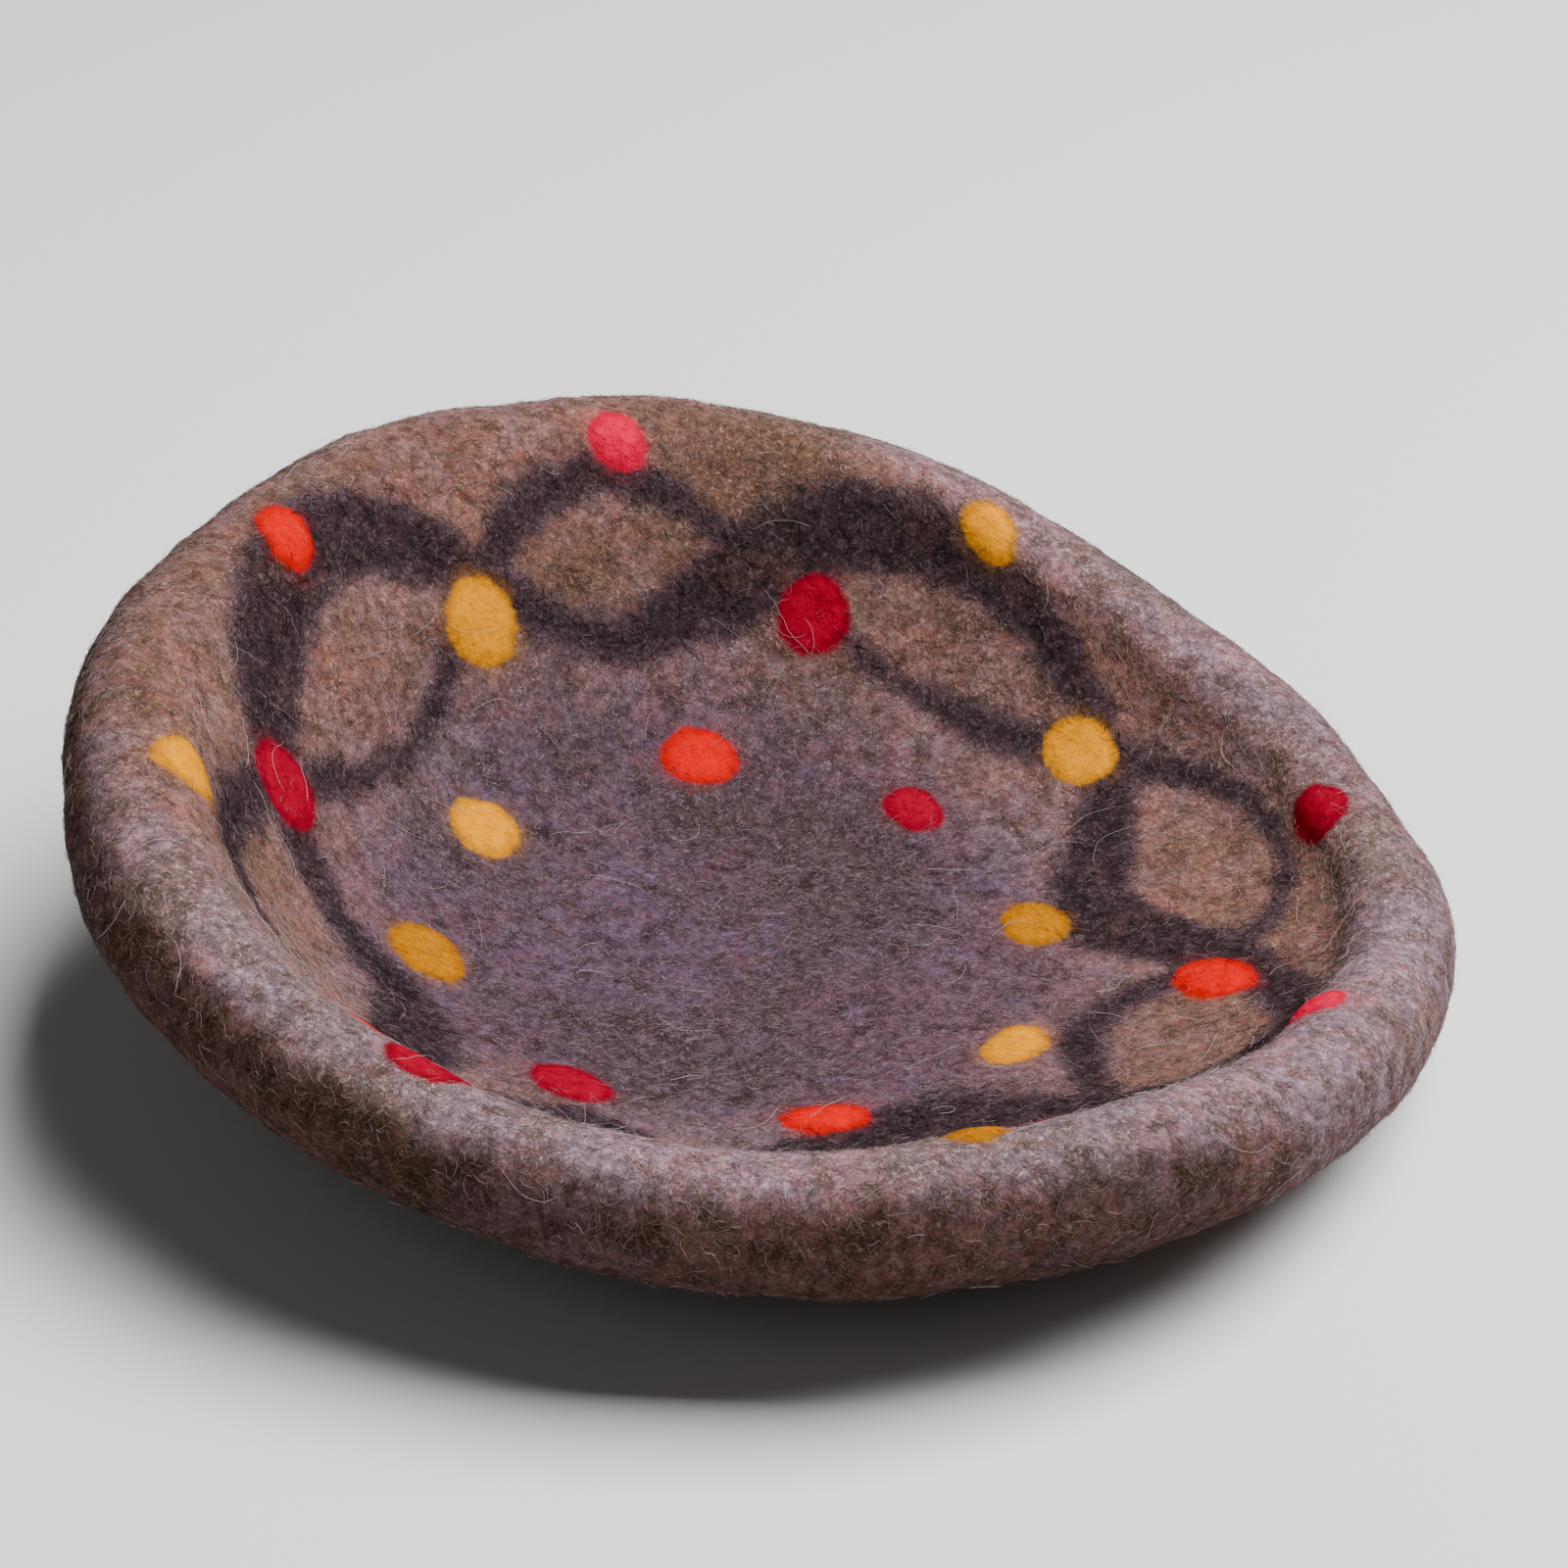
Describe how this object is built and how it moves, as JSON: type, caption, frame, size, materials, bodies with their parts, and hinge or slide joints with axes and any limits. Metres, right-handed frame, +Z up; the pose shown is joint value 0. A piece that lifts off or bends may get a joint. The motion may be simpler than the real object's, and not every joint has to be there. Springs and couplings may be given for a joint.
{
  "type": "felt cat cave pushed in to lie as a nest",
  "caption": "Seamless wool felt cat cave, pushed in to form a double-walled nest with a fat rolled rim, a high back and a low front.",
  "frame": {"origin": "middle of the nest's outline seen from above, at the height of the surface it stands on", "axes": "+Z up; -Y towards the low front rim, +X towards the lowest end of the rim, so the high wall is at the back and left"},
  "size_m": [0.4948, 0.4788, 0.1628],
  "materials": {
    "felt": "matted wool felt, mauve grey and brown with dark bands and bright inlaid spots"
  },
  "bodies": {
    "root": {"felt_shell": "felt"}
  },
  "joints": []
}
